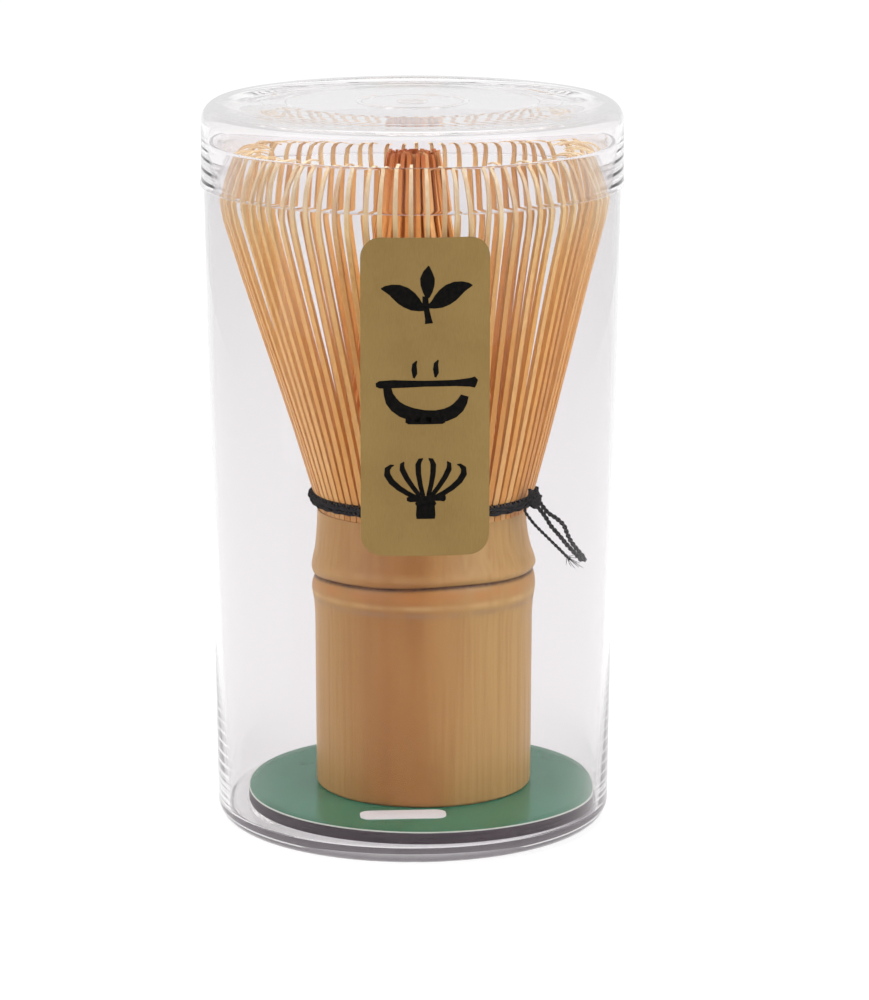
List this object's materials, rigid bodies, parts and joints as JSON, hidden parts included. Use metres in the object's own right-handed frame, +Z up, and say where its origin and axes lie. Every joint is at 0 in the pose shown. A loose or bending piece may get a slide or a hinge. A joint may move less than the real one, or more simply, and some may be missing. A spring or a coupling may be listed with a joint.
{
  "type": "bamboo tea whisk in a storage case",
  "caption": "Bamboo whisk for powdered tea, its fine curled tines bound with dark thread, standing on a green card inside a clear round case with a lift-off lid and a plain gold label.",
  "frame": {"origin": "middle of the case's foot, on the surface it stands on", "axes": "+Z up along the case, -Y towards the label, +X to the right seen from the label"},
  "size_m": [0.069, 0.069, 0.1204],
  "materials": {
    "clear": "clear polished polystyrene",
    "gold": "satin gold foil paper with black print",
    "green": "glossy green printed paper",
    "board": "dark grey board",
    "bamboo": "smooth scraped bamboo skin",
    "tines": "split and shaved bamboo, paler at the tips",
    "inner_tines": "split bamboo, reddish towards the top",
    "thread": "black twisted cotton thread"
  },
  "bodies": {
    "case": {"case_tub": "clear", "label": "gold"},
    "card": {"card_board": "board", "card_facing": "green"},
    "whisk": {"bamboo_culm": "bamboo", "outer_tines_01": "tines", "outer_tines_02": "tines", "outer_tines_03": "tines", "outer_tines_04": "tines", "outer_tines_05": "tines", "outer_tines_06": "tines", "outer_tines_07": "tines", "outer_tines_08": "tines", "outer_tines_09": "tines", "outer_tines_10": "tines", "outer_tines_11": "tines", "outer_tines_12": "tines", "outer_tines_13": "tines", "outer_tines_14": "tines", "outer_tines_15": "tines", "outer_tines_16": "tines", "inner_tines_01": "inner_tines", "inner_tines_02": "inner_tines", "inner_tines_03": "inner_tines", "inner_tines_04": "inner_tines", "inner_tines_05": "inner_tines", "inner_tines_06": "inner_tines", "inner_tines_07": "inner_tines", "inner_tines_08": "inner_tines", "inner_tines_09": "inner_tines", "inner_tines_10": "inner_tines", "inner_tines_11": "inner_tines", "inner_tines_12": "inner_tines", "inner_tines_13": "inner_tines", "inner_tines_14": "inner_tines", "inner_tines_15": "inner_tines", "inner_tines_16": "inner_tines", "thread_turn_lower": "thread", "thread_turn_upper": "thread", "thread_turn_inner": "thread", "thread_knot": "thread", "thread_loop": "thread", "thread_tail": "thread"},
    "lid": {"case_lid": "clear"}
  },
  "joints": [
    {"name": "card_lift", "type": "slide", "parent": "case", "child": "card", "axis": [0, 0, 1], "range_m": [0, 0.112]},
    {"name": "whisk_lift", "type": "slide", "parent": "card", "child": "whisk", "axis": [0, 0, 1], "range_m": [0, 0.11]},
    {"name": "lid_lift", "type": "slide", "parent": "whisk", "child": "lid", "axis": [0, 0, 1], "range_m": [0, 0.05]}
  ]
}
